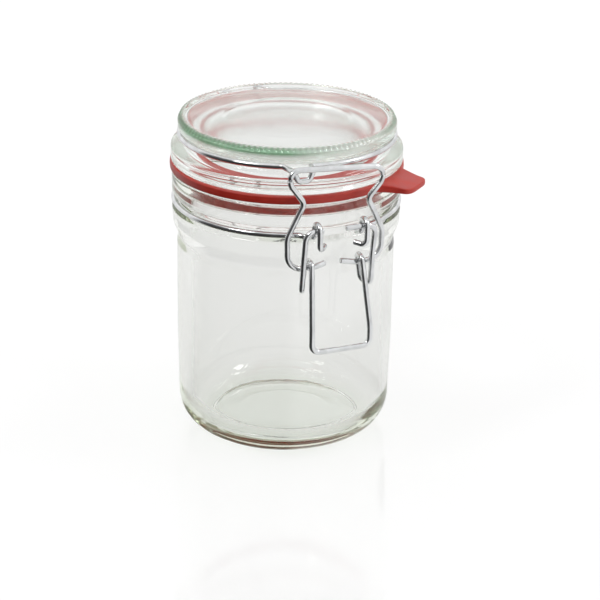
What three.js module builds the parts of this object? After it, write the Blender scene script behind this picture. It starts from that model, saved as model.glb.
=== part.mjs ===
// A clip top jar: a small glass jar with a glass lid, a rubber sealing ring and a wire clip.
// Millimetres, +Z up. The jar stands on z = 0 with its axis on Z, and the clip faces -Y.
import * as THREE from 'three';

// Fineness of the faceted solids
const TURN_STEPS = 56;
const WIRE_SIDES = 8;
const BEND_STEP = Math.PI / 6;
const GROOVE_STEP = Math.PI / 30;
const RING_STEPS = 28;

// Jar body
const BASE_FLAT_R = 27.6;
const BASE_CORNER_R = 12.6;
const BODY_R = 41.2;
const BODY_TAPER_TOP = 38;
const TAPER_BULGE = 0.2;
const BODY_STRAIGHT_TOP = 73;
const WAIST_R = 40.5;
const WAIST_Z = 77.5;
const BEAD_R = 43.1;
const BEAD_TOP = 87.8;
const RIM_R = 43.1;
const RIM_BOTTOM = 95.2;
const RIM_TOP = 103.4;
const WALL = 5.2;
const FLOOR = 6;
const FLOOR_CORNER_R = 9.2;
const MOUTH_R = 31;
const LEDGE_TOP = 100.6;
const LEDGE_BOTTOM = 97.4;
const BEAD_LOW = { r: 41.9, z: 81.9 };
const BEAD_HIGH = { r: 42.8, z: 84.5 };
const GROOVE_HALF = 1.2;
const EDGE = 1;

// Sealing ring
const FACE_GAP = 0.3;
const RING_R = 43.8;
const RING_HOLE_R = 31.6;
const RING_THICK = 3;
const RING_EDGE = 0.5;
const TAB_ANGLE = THREE.MathUtils.degToRad(40.5);
const TAB_REACH = 54.6;
const TAB_ROOT_ANGLE = THREE.MathUtils.degToRad(15);
const TAB_NECK = { out: 45.4, side: 9.3 };
const TAB_SHOULDER = { out: 51, side: 8 };
const TAB_TIP_SIDE = 3;
const TAB_TIP_THICK = 2;

// Lid
const LID_BOTTOM = RIM_TOP + RING_THICK + 2 * FACE_GAP;
const LID_FLANGE_R = 43.5;
const LID_FLANGE_TOP = 111.6;
const FLANGE_EDGE = 0.6;
const FLANGE_SLOPE = [{ in: 0.8, up: 1.3 }, { in: 2.3, up: 2.5 }, { in: 3.5, up: 3.6 }];
const LID_WALL_R = 40.9;
const LID_WALL_TOP = 121.7;
const LID_TOP = 124;
const LID_TOP_R = 39.7;
const LID_TOP_EDGE = { in: 0.6, down: 0.2 };
const LID_RIM_WIDTH = 2.7;
const LID_RECESS = 1.6;
const LID_RIM_FALL = 0.3;
const LID_RIM_SLOPE = 2;
const LID_DISC_R = 24;
const LID_DISC_STEP = 0.5;
const LID_DISC_EDGE = 0.8;
const LID_DOME_R = 35;
const LID_DOME_TOP = 117.6;
const LID_DOME_STEPS = 9;

// Wires
const WIRE_R = 1.05;
const PIVOT_BEND = 2.5;

// Neck wire, in its groove under the rim
const NECK_WIRE_R = 42.3;
const NECK_WIRE_Z = 91.6;
const NECK_GROOVE_R = 40.9;
const EYE_X = 9.1;
const EYE_BOTTOM = 89.9;
const EYE_CURL = 3.4;
const EYE_TAIL = { front: 1.2, up: 0.6, bend: 2.3 };
const EYE_SHANK = { up: 2.2, bend: 1.8 };
const NECK_FRONT = { x: 11.6, lead: 0.3, out: 2.2, up: 0.2, bend: 2.5 };
const NECK_BACK = { x: 12.4, lead: 0.8, out: 2.4, up: 0.2, bend: 2 };

// Lid wire, in its groove round the lid
const LID_WIRE_R = 40.1;
const LID_WIRE_Z = 116.9;
const LID_GROOVE_R = 38.7;
const LID_GROOVE_HALF = 0.9;
const LID_WALL_FOOT = [{ in: 0.2, up: 2.1 }, { in: 0, up: 2.8 }];
const LOOP_X = -11.6;
const LOOP_FRONT = 44.5;
const LOOP_HALF = 2.1;
const LOOP_LEAN = 1.6;
const LOOP_SPREAD = 4.8;
const LOOP_BOTTOM = 113.4;
const LOOP_RISE = 0.1;
const LOOP_BENDS = { high: 1.6, low: 1.9 };

// Hinge at the back
const HINGE_Y = 48.5;
const HINGE_Z = 96;
const HINGE_HALF = 10.2;
const HINGE_EYE_X = 6;
const HINGE_EYE_TAIL = 0.5;
const HINGE_SLACK = 0.05;
const LID_BACK_X = 9.4;
const LEG_TOP = { out: 0.4, down: 1.2, bend: 2 };
const LEG_LEAD = { x: 1.2, out: 2.4, up: 0.1, bend: 1.5 };

// Clip. Places are given as x, the distance in front of the jar's axis, and z.
const LEVER_PIVOT = { front: 52, z: 96.7 };
const BAIL_PIVOT = { front: 46.5, z: 80.9 };
const LEVER_ARM_X = 13.4;
const LEVER_STUB_ENDS = [-6.8, 1.8];
const BAIL_STUB_ENDS = [-3.6, 2.4];
const BAIL_STUB_RISE = 1.2;
const BAIL_BAR = { front: 47, z: 117.8 };
const BAIL_HALF = 17.7;
const BAIL_TILT = 1.1;
const PINCH = { x: 12.3, front: 47.2, z: 105.6 };
const BULGE = { x: 18.5, front: 46.6, z: 93 };
const HOOK_X = 18.2;
const SHOULDER = { x: 18, front: 47.3, z: 112.8 };
const HANDLE_TOP_X = 9.8;
const HANDLE_BOTTOM = { x: 11.4, front: 54.4, z: 50.9 };
const ARM_TURN_Z = 72.8;
const BAIL_HOOK_START = { x: 8, bend: 2.5 };
const BAIL_BENDS = { hook: 6, bulge: 7, pinch: 2.6, shoulder: 4.5, bar: 3.6 };
const ARM_MIDDLE = { front: 50, z: 84, bend: 12 };
const ARM_TURN = { lead: 0.1, front: 49, back: 1.8, rise: 0.2, bend: 2.2 };
const STUB_BEND = 3.4;
const CURL_SLACK = { near: 0.1, far: 0.2 };
const HANDLE_BENDS = { side: 20, bottom: 3 };
const HANDLE_FOOT = 7;

// Finishes
const clearGlass = new THREE.MeshStandardMaterial({ color: 0xdfe6e1, roughness: 0.08, metalness: 0 });
const greenGlass = new THREE.MeshStandardMaterial({ color: 0xbcd8c8, roughness: 0.08, metalness: 0 });
const redRubber = new THREE.MeshStandardMaterial({ color: 0xa82e2c, roughness: 0.55, metalness: 0 });
const steelWire = () => new THREE.MeshStandardMaterial({ color: 0xc9cccf, roughness: 0.22, metalness: 1 });

// Points of an arc in a profile's plane, from one angle to another
function arc(centreR, centreZ, radius, from, to, steps) {
  const points = [];
  for (let i = 0; i <= steps; i += 1) {
    const angle = THREE.MathUtils.degToRad(from + ((to - from) * i) / steps);
    points.push(new THREE.Vector2(centreR + radius * Math.cos(angle), centreZ + radius * Math.sin(angle)));
  }
  return points;
}

const at = (r, z) => new THREE.Vector2(r, z);

// A body turned round the Z axis from a profile of radius and height
function turned(profile) {
  const geometry = new THREE.LatheGeometry(profile, TURN_STEPS);
  return geometry.rotateX(Math.PI / 2);
}

function jarProfile() {
  const taperR = BASE_FLAT_R + BASE_CORNER_R;
  const floorR = BODY_R - WALL - FLOOR_CORNER_R;
  return [
    at(0, 0),
    ...arc(BASE_FLAT_R, BASE_CORNER_R, BASE_CORNER_R, -90, 0, 5),
    at((taperR + BODY_R) / 2 + TAPER_BULGE, (BASE_CORNER_R + BODY_TAPER_TOP) / 2),
    at(BODY_R, BODY_TAPER_TOP),
    at(BODY_R, BODY_STRAIGHT_TOP),
    at(WAIST_R, WAIST_Z),
    at(BEAD_LOW.r, BEAD_LOW.z),
    at(BEAD_HIGH.r, BEAD_HIGH.z),
    at(BEAD_R, BEAD_TOP),
    at(NECK_GROOVE_R, NECK_WIRE_Z - GROOVE_HALF),
    at(NECK_GROOVE_R, NECK_WIRE_Z + GROOVE_HALF),
    at(RIM_R, RIM_BOTTOM),
    at(RIM_R, RIM_TOP - EDGE),
    at(RIM_R - EDGE, RIM_TOP),
    at(MOUTH_R + EDGE, RIM_TOP),
    at(MOUTH_R, RIM_TOP - EDGE),
    at(MOUTH_R, LEDGE_TOP),
    at(BODY_R - WALL, LEDGE_BOTTOM),
    ...arc(floorR, FLOOR + FLOOR_CORNER_R, FLOOR_CORNER_R, 0, -90, 4),
    at(0, FLOOR),
  ];
}

// The lid's underside is hollowed by half an ellipsoid
function lidDome() {
  return Array.from({ length: LID_DOME_STEPS + 1 }, (unused, i) => {
    const angle = (i * Math.PI) / (2 * LID_DOME_STEPS);
    const height = LID_BOTTOM + (LID_DOME_TOP - LID_BOTTOM) * Math.cos(angle);
    return at(LID_DOME_R * Math.sin(angle), height);
  });
}

function lidProfile() {
  const rimInner = LID_TOP_R - LID_RIM_WIDTH;
  const recessZ = LID_TOP - LID_RECESS;
  return [
    ...lidDome(),
    at(LID_FLANGE_R - FLANGE_EDGE, LID_BOTTOM),
    at(LID_FLANGE_R, LID_BOTTOM + FLANGE_EDGE),
    at(LID_FLANGE_R, LID_FLANGE_TOP),
    ...FLANGE_SLOPE.map((step) => at(LID_FLANGE_R - step.in, LID_FLANGE_TOP + step.up)),
    at(LID_GROOVE_R, LID_WIRE_Z - LID_GROOVE_HALF),
    at(LID_GROOVE_R, LID_WIRE_Z + LID_GROOVE_HALF),
    ...LID_WALL_FOOT.map((step) => at(LID_WALL_R - step.in, LID_WIRE_Z + step.up)),
    at(LID_WALL_R, LID_WALL_TOP),
    at(LID_TOP_R, LID_TOP - LID_TOP_EDGE.down),
    at(LID_TOP_R - LID_TOP_EDGE.in, LID_TOP),
    at(rimInner, LID_TOP - LID_RIM_FALL),
    at(rimInner - LID_RIM_SLOPE, recessZ),
    at(LID_DISC_R, recessZ),
    at(LID_DISC_R - LID_DISC_EDGE, recessZ - LID_DISC_STEP),
    at(0, recessZ - LID_DISC_STEP),
  ];
}

// The ring's outline is a circle with a broad blunt tab, cut through by a round hole
function ringGeometry() {
  const outerR = RING_R - RING_EDGE;
  const middle = TAB_ANGLE - Math.PI / 2;
  const shape = new THREE.Shape();
  const corner = (out, side) => {
    const inset = RING_EDGE * Math.sign(side);
    const x = out - RING_EDGE;
    const y = side - inset;
    return at(x * Math.cos(middle) - y * Math.sin(middle), x * Math.sin(middle) + y * Math.cos(middle));
  };
  const curveTo = (control, end) => shape.quadraticCurveTo(control.x, control.y, end.x, end.y);
  shape.absarc(0, 0, outerR, middle + TAB_ROOT_ANGLE, middle - TAB_ROOT_ANGLE + 2 * Math.PI, false);
  curveTo(corner(TAB_NECK.out, -TAB_NECK.side), corner(TAB_SHOULDER.out, -TAB_SHOULDER.side));
  curveTo(corner(TAB_REACH, -TAB_SHOULDER.side), corner(TAB_REACH, -TAB_TIP_SIDE));
  shape.lineTo(...corner(TAB_REACH, TAB_TIP_SIDE));
  curveTo(corner(TAB_REACH, TAB_SHOULDER.side), corner(TAB_SHOULDER.out, TAB_SHOULDER.side));
  const root = middle + TAB_ROOT_ANGLE;
  curveTo(corner(TAB_NECK.out, TAB_NECK.side), at(outerR * Math.cos(root), outerR * Math.sin(root)));
  const hole = new THREE.Path();
  hole.absarc(0, 0, RING_HOLE_R + RING_EDGE, 0, 2 * Math.PI, true);
  shape.holes.push(hole);
  const geometry = new THREE.ExtrudeGeometry(shape, {
    depth: RING_THICK - 2 * RING_EDGE,
    bevelThickness: RING_EDGE,
    bevelSize: RING_EDGE,
    bevelSegments: 1,
    curveSegments: RING_STEPS,
  });
  geometry.translate(0, 0, RIM_TOP + FACE_GAP + RING_EDGE);
  return thinnedTab(geometry);
}

// The tab's underside stays flat, and its top falls towards the tip
function thinnedTab(geometry) {
  const bottom = RIM_TOP + FACE_GAP;
  const position = geometry.attributes.position;
  for (let i = 0; i < position.count; i += 1) {
    const beyond = Math.hypot(position.getX(i), position.getY(i)) - RING_R;
    const share = THREE.MathUtils.smoothstep(beyond, 0, TAB_REACH - RING_R);
    const thinning = THREE.MathUtils.lerp(1, TAB_TIP_THICK / RING_THICK, share);
    position.setZ(i, bottom + (position.getZ(i) - bottom) * thinning);
  }
  return geometry;
}

// A bent wire's middle line: straight runs joined by small arcs, sampled only where it bends
class WirePath extends THREE.Curve {
  constructor(points) {
    super();
    this.points = points;
  }

  getPoint(t, target = new THREE.Vector3()) {
    const place = t * (this.points.length - 1);
    const i = Math.min(Math.floor(place + 1e-9), this.points.length - 2);
    return target.lerpVectors(this.points[i], this.points[i + 1], place - i);
  }

  getUtoTmapping(u) {
    return u;
  }

  getTangent(t, target = new THREE.Vector3()) {
    const last = this.points.length - 1;
    const i = Math.round(t * last);
    const before = new THREE.Vector3();
    const after = new THREE.Vector3();
    if (i > 0) before.subVectors(this.points[i], this.points[i - 1]).normalize();
    if (i < last) after.subVectors(this.points[i + 1], this.points[i]).normalize();
    return target.addVectors(before, after).normalize();
  }
}

// Replaces each corner of a run of places by an arc of the radius given beside it
function bent(corners) {
  const points = [corners[0].p.clone()];
  for (let i = 1; i < corners.length - 1; i += 1) {
    const corner = corners[i].p;
    const radius = corners[i].r ?? 0;
    const back = new THREE.Vector3().subVectors(corners[i - 1].p, corner).normalize();
    const ahead = new THREE.Vector3().subVectors(corners[i + 1].p, corner).normalize();
    const turn = Math.PI - back.angleTo(ahead);
    if (radius === 0 || turn < 1e-3) {
      points.push(corner.clone());
    } else {
      const middle = new THREE.Vector3().addVectors(back, ahead).normalize();
      const centre = corner.clone().addScaledVector(middle, radius / Math.cos(turn / 2));
      const start = corner.clone().addScaledVector(back, radius * Math.tan(turn / 2)).sub(centre);
      const axis = new THREE.Vector3().crossVectors(ahead, back).normalize();
      const steps = Math.max(1, Math.ceil(turn / BEND_STEP));
      for (let k = 0; k <= steps; k += 1) {
        points.push(start.clone().applyAxisAngle(axis, (turn * k) / steps).add(centre));
      }
    }
  }
  points.push(corners[corners.length - 1].p.clone());
  return points;
}

// A round wire along a bent middle line
function wire(corners) {
  const points = bent(corners);
  const section = new THREE.Shape();
  for (let i = 0; i < WIRE_SIDES; i += 1) {
    const angle = ((i + 0.5) * 2 * Math.PI) / WIRE_SIDES;
    const method = i === 0 ? 'moveTo' : 'lineTo';
    section[method](WIRE_R * Math.cos(angle), WIRE_R * Math.sin(angle));
  }
  section.closePath();
  return new THREE.ExtrudeGeometry(section, { steps: points.length - 1, extrudePath: new WirePath(points) });
}

// A corner in front of the jar, by its x, its distance in front of the axis, its z and its bend
const place = (x, front, z, r = 0) => ({ p: new THREE.Vector3(x, -front, z), r });

// Places round a groove, from one x to another, the front half or the back half of the circle
function groove(radius, z, fromAngle, toAngle) {
  const steps = Math.ceil(Math.abs(toAngle - fromAngle) / GROOVE_STEP);
  return Array.from({ length: steps + 1 }, (unused, i) => {
    const angle = fromAngle + ((toAngle - fromAngle) * i) / steps;
    return place(radius * Math.sin(angle), radius * Math.cos(angle), z);
  });
}

function mirrored(corners) {
  const across = corners.map(({ p, r }) => ({ p: new THREE.Vector3(-p.x, p.y, p.z), r }));
  return across.reverse();
}

// Neck wire: an eye for the lever at each front end, and a hinge bar stood off at the back
function neckWire() {
  const eyeBack = LEVER_PIVOT.front - PIVOT_BEND;
  const eyeFront = LEVER_PIVOT.front + PIVOT_BEND;
  const eyeTop = LEVER_PIVOT.z + PIVOT_BEND;
  const front = NECK_FRONT;
  const back = NECK_BACK;
  const frontAngle = Math.asin(-front.x / NECK_WIRE_R);
  const backAngle = -Math.PI + Math.asin(back.x / NECK_WIRE_R);
  const left = [
    place(-EYE_X + EYE_CURL, eyeBack + EYE_TAIL.front, EYE_BOTTOM + EYE_TAIL.up),
    place(-EYE_X, eyeFront, EYE_BOTTOM, EYE_TAIL.bend),
    place(-EYE_X, eyeFront, eyeTop, PIVOT_BEND),
    place(-EYE_X, eyeBack, eyeTop, PIVOT_BEND),
    place(-EYE_X, eyeBack, NECK_WIRE_Z + EYE_SHANK.up, EYE_SHANK.bend),
    place(-EYE_X - front.lead, NECK_WIRE_R + front.out, NECK_WIRE_Z + front.up, front.bend),
    ...groove(NECK_WIRE_R, NECK_WIRE_Z, frontAngle, backAngle),
    place(-HINGE_HALF - back.lead, -(NECK_WIRE_R + back.out), NECK_WIRE_Z + back.up, back.bend),
    place(-HINGE_HALF, -HINGE_Y, HINGE_Z, back.bend),
  ];
  return wire([...left, ...mirrored(left)]);
}

// The lid wire's forward loop, which dips behind and below the clip's bar
function frontLoop() {
  const high = LID_WIRE_Z + LOOP_RISE;
  const start = LOOP_FRONT - 2 * LOOP_RISE;
  const wide = LOOP_HALF + LOOP_LEAN;
  return [
    place(LOOP_X - wide, start, high, LOOP_BENDS.high),
    place(LOOP_X - LOOP_HALF, LOOP_FRONT, LOOP_BOTTOM, LOOP_BENDS.low),
    place(LOOP_X + LOOP_HALF, LOOP_FRONT, LOOP_BOTTOM, LOOP_BENDS.low),
    place(LOOP_X + wide, start, high, LOOP_BENDS.high),
  ];
}

// Lid wire: a ring round the lid with one front loop, and two legs down to the hinge
function lidWire() {
  const eyeNear = HINGE_Y - PIVOT_BEND;
  const eyeFar = HINGE_Y + PIVOT_BEND;
  const angleAt = (x) => Math.asin(x / LID_WIRE_R);
  const backAngle = Math.PI - Math.asin(LID_BACK_X / LID_WIRE_R);
  const eyeBend = PIVOT_BEND - HINGE_SLACK;
  const leg = [
    place(-HINGE_EYE_X, -(HINGE_Y + HINGE_EYE_TAIL), HINGE_Z + PIVOT_BEND),
    place(-HINGE_EYE_X, -eyeFar, HINGE_Z + PIVOT_BEND, eyeBend - HINGE_SLACK),
    place(-HINGE_EYE_X, -eyeFar, HINGE_Z - PIVOT_BEND, eyeBend),
    place(-HINGE_EYE_X, -eyeNear, HINGE_Z - PIVOT_BEND, eyeBend),
    place(-HINGE_EYE_X, -(eyeNear + LEG_TOP.out), LID_WIRE_Z - LEG_TOP.down, LEG_TOP.bend),
    place(-HINGE_EYE_X - LEG_LEAD.x, -(LID_WIRE_R + LEG_LEAD.out), LID_WIRE_Z + LEG_LEAD.up, LEG_LEAD.bend),
  ];
  return wire([
    ...leg,
    ...groove(LID_WIRE_R, LID_WIRE_Z, -backAngle, angleAt(LOOP_X - LOOP_SPREAD)),
    ...frontLoop(),
    ...groove(LID_WIRE_R, LID_WIRE_Z, angleAt(LOOP_X + LOOP_SPREAD), backAngle),
    ...mirrored(leg),
  ]);
}

// Bail: two waisted legs from the stubs in the lever's curls up to the bar across the lid wire.
// Its right leg is a little shorter, so the bar slopes.
function bail() {
  const { front, z } = BAIL_PIVOT;
  const half = (stubEnd) => [
    place(stubEnd, front, z + BAIL_STUB_RISE),
    place(BAIL_HOOK_START.x, front, z, BAIL_HOOK_START.bend),
    place(HOOK_X, front, z, BAIL_BENDS.hook),
    place(BULGE.x, BULGE.front, BULGE.z, BAIL_BENDS.bulge),
    place(PINCH.x, PINCH.front, PINCH.z, BAIL_BENDS.pinch),
    place(SHOULDER.x, SHOULDER.front, SHOULDER.z, BAIL_BENDS.shoulder),
    place(BAIL_HALF, BAIL_BAR.front, BAIL_BAR.z, BAIL_BENDS.bar),
  ];
  const left = mirrored(half(-BAIL_STUB_ENDS[0])).reverse();
  const right = half(BAIL_STUB_ENDS[1]).reverse();
  const corners = [...left, ...right];
  for (const { p } of corners) {
    const height = Math.max(0, (p.z - z - BAIL_STUB_RISE) / (BAIL_BAR.z - z));
    p.z -= (BAIL_TILT * height * p.x) / BAIL_HALF;
  }
  return wire(corners);
}

// Lever: stubs in the neck wire's eyes, arms down, a turn back up, curls over the bail's stubs, handle
function lever() {
  const { front, z } = BAIL_PIVOT;
  const top = z + PIVOT_BEND;
  const half = (stubEnd) => [
    place(stubEnd, LEVER_PIVOT.front, LEVER_PIVOT.z),
    place(LEVER_ARM_X, LEVER_PIVOT.front, LEVER_PIVOT.z, STUB_BEND),
    place(LEVER_ARM_X, ARM_MIDDLE.front, ARM_MIDDLE.z, ARM_MIDDLE.bend),
    place(LEVER_ARM_X + ARM_TURN.lead, ARM_TURN.front, ARM_TURN_Z, ARM_TURN.bend),
    place(LEVER_ARM_X - ARM_TURN.back, front - PIVOT_BEND + ARM_TURN.rise, ARM_TURN_Z, ARM_TURN.bend),
    place(HANDLE_TOP_X + CURL_SLACK.far, front - PIVOT_BEND, top, PIVOT_BEND - CURL_SLACK.near),
    place(HANDLE_TOP_X, front + PIVOT_BEND, top, PIVOT_BEND - CURL_SLACK.far),
    place(HANDLE_BOTTOM.x, HANDLE_BOTTOM.front, HANDLE_BOTTOM.z + HANDLE_FOOT, HANDLE_BENDS.side),
    place(HANDLE_BOTTOM.x, HANDLE_BOTTOM.front, HANDLE_BOTTOM.z, HANDLE_BENDS.bottom),
  ];
  const left = mirrored(half(-LEVER_STUB_ENDS[0])).reverse();
  return wire([...left, ...half(LEVER_STUB_ENDS[1]).reverse()]);
}

function part(name, geometry, material) {
  const mesh = new THREE.Mesh(geometry, material);
  mesh.name = name;
  return mesh;
}

const jar = new THREE.Group();
jar.add(
  part('jar', turned(jarProfile()), clearGlass),
  part('neck_wire', neckWire(), steelWire()),
  part('sealing_ring', ringGeometry(), redRubber),
  part('lid', turned(lidProfile()), greenGlass),
  part('lid_wire', lidWire(), steelWire()),
  part('bail', bail(), steelWire()),
  part('lever', lever(), steelWire()),
);

export default jar;
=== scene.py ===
"""A clip top jar: glass body and lid, rubber ring and wire clip, on a pale studio floor.

Sizes are in millimetres in the classes and become metres where a mesh is made. The jar stands on z = 0
with its axis on Z, and the clip faces -Y.
"""
import logging
import math
from collections.abc import Callable
from dataclasses import dataclass
from enum import Enum
from itertools import accumulate

import bpy
import numpy as np
from mathutils import Matrix, Vector
from numpy.typing import NDArray

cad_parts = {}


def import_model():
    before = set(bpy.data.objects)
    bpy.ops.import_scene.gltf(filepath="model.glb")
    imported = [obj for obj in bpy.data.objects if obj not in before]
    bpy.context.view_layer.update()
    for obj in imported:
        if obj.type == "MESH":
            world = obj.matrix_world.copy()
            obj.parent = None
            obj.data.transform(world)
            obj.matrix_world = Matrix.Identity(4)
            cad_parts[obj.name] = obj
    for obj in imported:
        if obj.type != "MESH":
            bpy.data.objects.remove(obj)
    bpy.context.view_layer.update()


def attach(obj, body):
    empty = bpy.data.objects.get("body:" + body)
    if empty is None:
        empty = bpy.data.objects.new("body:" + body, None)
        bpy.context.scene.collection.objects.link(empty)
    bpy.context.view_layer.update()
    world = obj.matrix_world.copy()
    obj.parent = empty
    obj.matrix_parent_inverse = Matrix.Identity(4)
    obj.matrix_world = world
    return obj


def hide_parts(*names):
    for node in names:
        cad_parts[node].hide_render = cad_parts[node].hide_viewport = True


LOG = logging.getLogger("clip_top_jar")
MM = 0.001

Floats = NDArray[np.float64]
Ints = NDArray[np.int64]
Warp = Callable[[Floats, Floats, Floats], tuple[Floats, Floats, Floats]]
Pair = tuple[float, float]
Triple = tuple[float, float, float]
Node = bpy.types.Node
Socket = bpy.types.NodeSocket

NO_TRIANGLES = np.zeros((0, 3), dtype=int)
WIRE_UV = "wire"
NOISE_SPAN = (0.3, 0.7)
SPECKLE_INPUTS = ("Grain Scale", "Cloud Scale", "Cloud Share")
SPECKLE_DETAIL = 3.0
# Where the studio turns from dark to lit, by each part of the direction from the jar
LIT_SPANS = {"X": (0.02, 0.22), "Y": (-0.05, 0.25), "Z": (0.55, 0.85)}


class Body(Enum):
    """The bodies that pieces ride on."""

    ROOT = "root"
    LID = "lid"
    LEVER = "lever"
    BAIL = "bail"


class Slot(Enum):
    """The record's material slots."""

    JAR_GLASS = "jar_glass"
    LID_GLASS = "lid_glass"
    RUBBER = "ring_rubber"
    WIRE = "wire"


# Surfaces


@dataclass(frozen=True)
class Surface:
    """A mesh as arrays: points in millimetres, faces of four and of three, and a place for each corner."""

    points: Floats
    quads: Ints
    triangles: Ints
    quad_uv: Floats | None = None

    def make(self, name: str, finish: "Finish") -> bpy.types.Object:
        """Makes the smooth-shaded object in metres.

        Args:
            name: The piece's name.
            finish: The finish that dresses it.

        Returns:
            The linked object, at the origin.
        """
        mesh = bpy.data.meshes.new(name)
        mesh.from_pydata((self.points * MM).tolist(), [], self.quads.tolist() + self.triangles.tolist())
        if self.quad_uv is not None:
            layer = mesh.uv_layers.new(name=WIRE_UV)
            corners = np.zeros((len(mesh.loops), 2))
            corners[: self.quads.size] = self.quad_uv.reshape(-1, 2)
            layer.data.foreach_set("uv", corners.ravel())
        mesh.polygons.foreach_set("use_smooth", np.ones(len(mesh.polygons), dtype=bool))
        mesh.update()
        piece = bpy.data.objects.new(name, mesh)
        bpy.context.scene.collection.objects.link(piece)
        mesh.materials.append(finish.material())
        return piece


def unit(vectors: Floats) -> Floats:
    """Vectors over their own lengths. A zero vector stays zero."""
    return vectors / np.maximum(np.linalg.norm(vectors, axis=-1, keepdims=True), 1e-12)


def rounded(corners: Floats, radii: Floats, samples: int, support: float = 0.0) -> Floats:
    """Rounds the corners of an open run of straight lines.

    A corner that turns by an angle t gets the arc of radius r that touches both lines, r tan(t / 2) from the
    corner. The arc's centre lies r / cos(t / 2) along the line that halves the corner. A point just before
    and just after the arc keeps the straight lines' shading straight.

    Args:
        corners: The n places, in two or three dimensions.
        radii: The n radii. The first and the last aren't used.
        samples: Points on each arc.
        support: Distance of the added points from the arc.

    Returns:
        The places of the rounded run.
    """
    corner = corners[1:-1]
    radius = radii[1:-1, None]
    back = unit(corners[:-2] - corner)
    ahead = unit(corners[2:] - corner)
    turn = np.pi - np.arccos(np.clip((back * ahead).sum(axis=1), -1.0, 1.0))[:, None]
    reach = radius * np.tan(turn / 2)
    centre = corner + unit(back + ahead) * radius / np.cos(turn / 2)
    outward = unit(corner + back * reach - centre)
    angles = (turn * np.linspace(0.0, 1.0, samples))[:, :, None]
    swing = np.cos(angles) * outward[:, None] - np.sin(angles) * back[:, None]
    arcs = centre[:, None] + radius[:, None] * swing
    stand_off = reach + support * (radius > 0)
    first = (corner + back * stand_off)[:, None]
    last = (corner + ahead * stand_off)[:, None]
    inner = np.concatenate([first, arcs, last], axis=1).reshape(-1, corners.shape[1])
    run = np.concatenate([corners[:1], inner, corners[-1:]])
    fresh = np.linalg.norm(np.diff(run, axis=0), axis=1) > 1e-6
    return run[np.concatenate([[True], fresh])]


def grid_quads(rows: int, columns: int, closed_rows: bool = False) -> Ints:
    """Faces of a grid of points that closes on itself along its columns.

    Args:
        rows: Rows of points.
        columns: Points in each row.
        closed_rows: True if the last row joins the first.

    Returns:
        One row of four point numbers for each face.
    """
    low = np.arange(rows if closed_rows else rows - 1)[:, None]
    high = (low + 1) % rows
    here = np.arange(columns)[None]
    right = (here + 1) % columns
    sides = (low * columns + here, low * columns + right, high * columns + right, high * columns + here)
    return np.stack(sides, axis=-1).reshape(-1, 4)


def capped_grid(rings: Floats, first_pole: Floats, last_pole: Floats) -> tuple[Floats, Ints, Ints]:
    """Closes a stack of rings with a fan of triangles at each end.

    Args:
        rings: Points, rows by columns by three.
        first_pole: The middle of the first end.
        last_pole: The middle of the last end.

    Returns:
        The points, the faces of four and the faces of three.
    """
    rows, columns = rings.shape[:2]
    points = np.concatenate([rings.reshape(-1, 3), first_pole[None], last_pole[None]])
    here = np.arange(columns)
    right = (here + 1) % columns
    last = (rows - 1) * columns
    first_fan = np.stack([np.full(columns, rows * columns), right, here], axis=1)
    last_fan = np.stack([np.full(columns, rows * columns + 1), last + here, last + right], axis=1)
    return points, grid_quads(rows, columns), np.concatenate([first_fan, last_fan])


def turned(profile: Floats, columns: int, warp: Warp | None = None) -> Surface:
    """Turns a profile of radius and height round the Z axis.

    A point at radius r, height z and angle a goes to (r cos a, r sin a, z). The profile starts and ends on
    the axis, out along the underside first, so that faces point outwards.

    Args:
        profile: Radius and height of each point.
        columns: Points round the axis.
        warp: Changes radius, height and angle before they are placed.

    Returns:
        The closed surface.
    """
    angle = np.linspace(0.0, 2 * np.pi, columns, endpoint=False)[None]
    radius = np.repeat(profile[1:-1, :1], columns, axis=1)
    height = np.repeat(profile[1:-1, 1:], columns, axis=1)
    angle = np.repeat(angle, len(radius), axis=0)
    if warp is not None:
        radius, height, angle = warp(radius, height, angle)
    rings = np.stack([radius * np.cos(angle), radius * np.sin(angle), height], axis=-1)
    poles = [np.array([0.0, 0.0, profile[i, 1]]) for i in (0, -1)]
    return Surface(*capped_grid(rings, *poles))


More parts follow.
